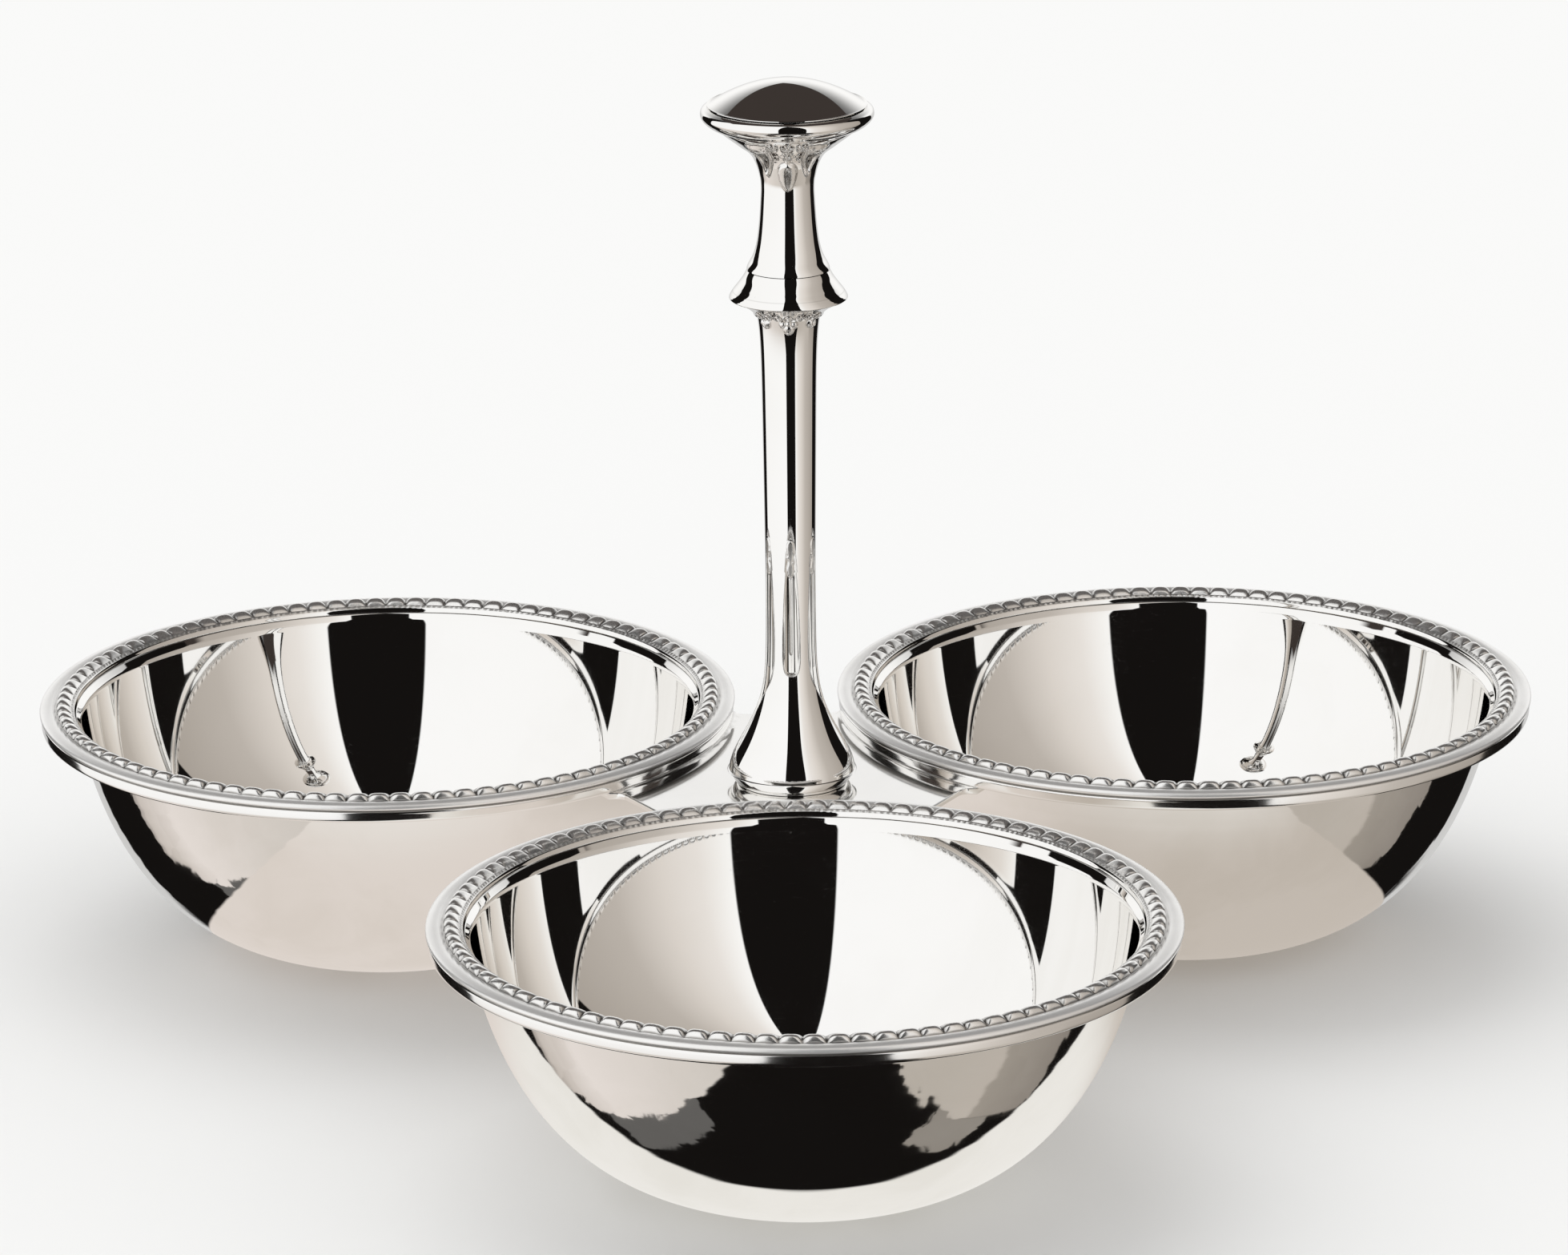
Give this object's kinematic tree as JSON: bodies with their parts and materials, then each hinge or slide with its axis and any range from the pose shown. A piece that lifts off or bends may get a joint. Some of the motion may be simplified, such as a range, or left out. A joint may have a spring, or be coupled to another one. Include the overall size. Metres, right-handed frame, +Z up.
{
  "type": "serving dish",
  "caption": "Round plated serving bowls with lobed rims, joined by a thin pointed plate to a tall turned handle with a domed knob, for nuts, olives or sweets.",
  "frame": {"origin": "on the surface that the bowls stand on, under the middle of the outline", "axes": "+Z up along the handle, +X to the right along the two rear bowls, -Y towards the single front bowl"},
  "size_m": [0.2794, 0.2592, 0.1737],
  "materials": {
    "polished_silver": "silver plated and mirror polished, with fine wiping scratches",
    "satin_silver": "silver plated, satin on the outer roll, darkened between the lobes",
    "handle_silver": "silver plated and polished, darkened in the reliefs",
    "plain_steel": "plain steel, hidden inside or below"
  },
  "bodies": {
    "root": {"bowl_front": "polished_silver", "bowl_right": "polished_silver", "bowl_left": "polished_silver", "border_front": "satin_silver", "border_right": "satin_silver", "border_left": "satin_silver", "link_plate": "polished_silver", "foot_ring": "handle_silver", "stem": "handle_silver", "collar": "handle_silver", "neck": "handle_silver", "knob_base": "handle_silver", "knob_dome": "handle_silver", "tie_rod": "plain_steel", "knob_boss": "plain_steel", "washer": "plain_steel", "nut": "plain_steel"}
  },
  "joints": []
}
